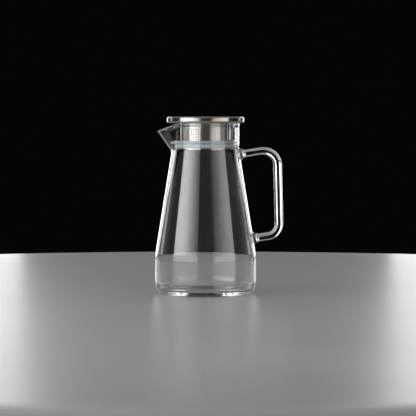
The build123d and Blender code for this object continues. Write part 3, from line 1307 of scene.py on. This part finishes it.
@dataclass(frozen=True)
class SoftBox:
    """A soft rectangular lamp that faces the jug.

    It stands turn degrees round from the camera's side towards +X. Its glow grows from the edge near the
    camera, where it has the share near_glow, and is full at the share brightest of its width. Its lower part
    has the share low_glow all along. The edges themselves are sharp at the sides and soft above and below.
    """

    name: str
    turn: float
    width: float
    glow: float
    height: float = 0.9
    distance: float = 1.3
    middle: float = 0.42
    near_glow: float = 1.0
    brightest: float = 0.7
    low_glow: float = 1.0
    low_end: Pair = (0.22, 0.38)
    side_edges: Pair = (0.02, 0.04)
    level_edges: Pair = (0.06, 0.12)
    colour: Colour = (1.0, 1.0, 1.0)
    aim: float | None = None

    def build(self) -> bpy.types.Object:
        """Makes the lamp.

        Returns:
            The lamp.
        """
        light = bpy.data.lights.new(self.name, "AREA")
        light.shape = "RECTANGLE"
        light.size, light.size_y = self.width, self.height
        light.energy, light.color = self.glow * self.width * self.height * math.pi, self.colour
        tree = ShaderTree(light)
        across, up, _ = tree.split(tree.node("ShaderNodeNewGeometry").outputs["Parametric"])
        from_near = across if self.turn > 0 else 1 - across
        growing = self.near_glow + (1 - self.near_glow) * from_near.above(0, self.brightest)
        upper = up.above(*self.low_end)
        near, far = self.side_edges
        bottom, top = self.level_edges
        sides = from_near.above(0, near) * (1 - from_near).above(0, far)
        edges = sides * up.above(0, bottom) * (1 - up).above(0, top)
        strength = (growing * upper + self.low_glow * (1 - upper)) * edges
        tree.finish(tree.node("ShaderNodeEmission", inputs={"Strength": strength}).outputs[0], Output.LAMP)
        lamp = bpy.data.objects.new(self.name, light)
        turn = math.radians(self.turn)
        lamp.location = (self.distance * math.sin(turn), -self.distance * math.cos(turn), self.middle)
        drop = 0.0 if self.aim is None else self.aim - self.middle
        to_jug = Vector((-lamp.location.x, -lamp.location.y, drop))
        lamp.rotation_euler = to_jug.to_track_quat("-Z", "Y").to_euler()
        bpy.context.scene.collection.objects.link(lamp)
        return lamp


def lamp_pair(name: str, turn: float, **sizes: float) -> list[SoftBox]:
    """The same lamp on the left and on the right."""
    return [SoftBox(f"{name}_{side}", sign * turn, **sizes) for side, sign in (("left", -1), ("right", 1))]


FRONT = {"distance": 1.2, "middle": 0.45}
WARM_FRONT = {**FRONT, "colour": (1.0, 0.975, 0.94)}
LAMPS = (
    SoftBox("front_left", -48.2, 1.42, 6.4, near_glow=0.14, brightest=0.75, low_glow=0.38, **FRONT),
    SoftBox("front_right", 45.5, 1.15, 2.4, near_glow=0.16, brightest=0.9, low_glow=0.75, **WARM_FRONT),
    *lamp_pair("side", 121.5, width=0.25, height=0.55, middle=0.38, glow=1.3),
    *lamp_pair("back", 157.0, width=0.365, glow=2.4),
    SoftBox("overhead", 180.0, width=2.6, height=2.6, distance=0.05, middle=0.95, glow=0.3, aim=0.0),
)


@dataclass
class Studio:
    """Pale floor, soft lamps, dark surroundings and the camera."""

    floor: PaleFloor
    floor_radius: float = 0.93
    floor_forward: float = 0.13
    floor_depth: float = 0.03
    floor_edge: float = 0.002
    floor_columns: int = 128
    floor_shares: tuple[float, ...] = (0.1, 0.3, 0.6, 0.9)
    lens: float = 173.0
    sensor: float = 36.0
    clip: Pair = (0.05, 50.0)
    eye_height: float = 0.215
    eye_distance: float = 2.48
    tilt: float = 2.5
    aside: float = 0.0031
    dark: Colour = (0.0015, 0.0015, 0.0016)
    bounces: int = 24
    lamps: tuple[SoftBox, ...] = LAMPS

    def build(self) -> bpy.types.Object:
        """Sets up the studio.

        Returns:
            The floor.
        """
        for lamp in self.lamps:
            lamp.build()
        tree = ShaderTree(bpy.data.worlds.new("dark_studio"))
        background = tree.node("ShaderNodeBackground", inputs={"Color": (*self.dark, 1.0)})
        bpy.context.scene.world = tree.finish(background.outputs[0], Output.WORLD)
        self._camera()
        self._light_paths()
        return self._floor()

    def _floor(self) -> bpy.types.Object:
        """Makes the round floor.

        Returns:
            The floor, with a bevelled edge.
        """
        radius, edge, depth = self.floor_radius / MM, self.floor_edge / MM, self.floor_depth / MM
        angle = even_angles(self.floor_columns)
        middle = (0.0, -self.floor_forward / MM, 0.0)
        profile = [(radius * share, 0.0) for share in self.floor_shares]
        profile += [(radius, 0.0), (radius + edge, -edge), (radius + edge, -depth)]
        rings = [level_ring(r, angle, z) + middle for r, z in profile]
        skin = Skin()
        skin.grid(np.array(rings))
        skin.fan(rings[0], middle)
        skin.fan(rings[-1], (0.0, middle[1], -depth))
        piece = skin.build("studio_floor", self.floor.material())
        return piece

    def _camera(self) -> None:
        """Places the camera at the photograph's viewing angle."""
        camera = bpy.data.objects.new("camera", bpy.data.cameras.new("camera"))
        camera.data.lens = self.lens
        camera.data.sensor_width = self.sensor
        camera.data.clip_start, camera.data.clip_end = self.clip
        camera.location = (self.aside, -self.eye_distance, self.eye_height)
        camera.rotation_euler = (math.radians(90 - self.tilt), 0, 0)
        bpy.context.scene.collection.objects.link(camera)
        bpy.context.scene.camera = camera

    def _light_paths(self) -> None:
        """Lets rays cross all the glass walls, without noisy caustics."""
        cycles = bpy.context.scene.cycles
        cycles.max_bounces = cycles.transmission_bounces = cycles.glossy_bounces = self.bounces
        cycles.transparent_max_bounces = self.bounces
        cycles.caustics_reflective = cycles.caustics_refractive = False
        bpy.context.scene.view_settings.view_transform = "Standard"


def main() -> None:
    """Builds the object piece by piece, then the studio."""
    logging.basicConfig(level=logging.INFO, format="%(name)s: %(message)s")
    glass = GlassJug(ClearGlass()).build()
    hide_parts("glass_vessel", "handle_rod", "upper_weld_pad", "lower_weld_pad")
    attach(glass, "jug")
    seal = SiliconeSeal(MilkySilicone()).build()
    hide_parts("silicone_seal")
    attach(seal, "seal")
    for piece in StrainerLid().build():
        log.info("%s dressed", piece.name)
    Studio(PaleFloor()).build()


if __name__ == "__main__":
    main()
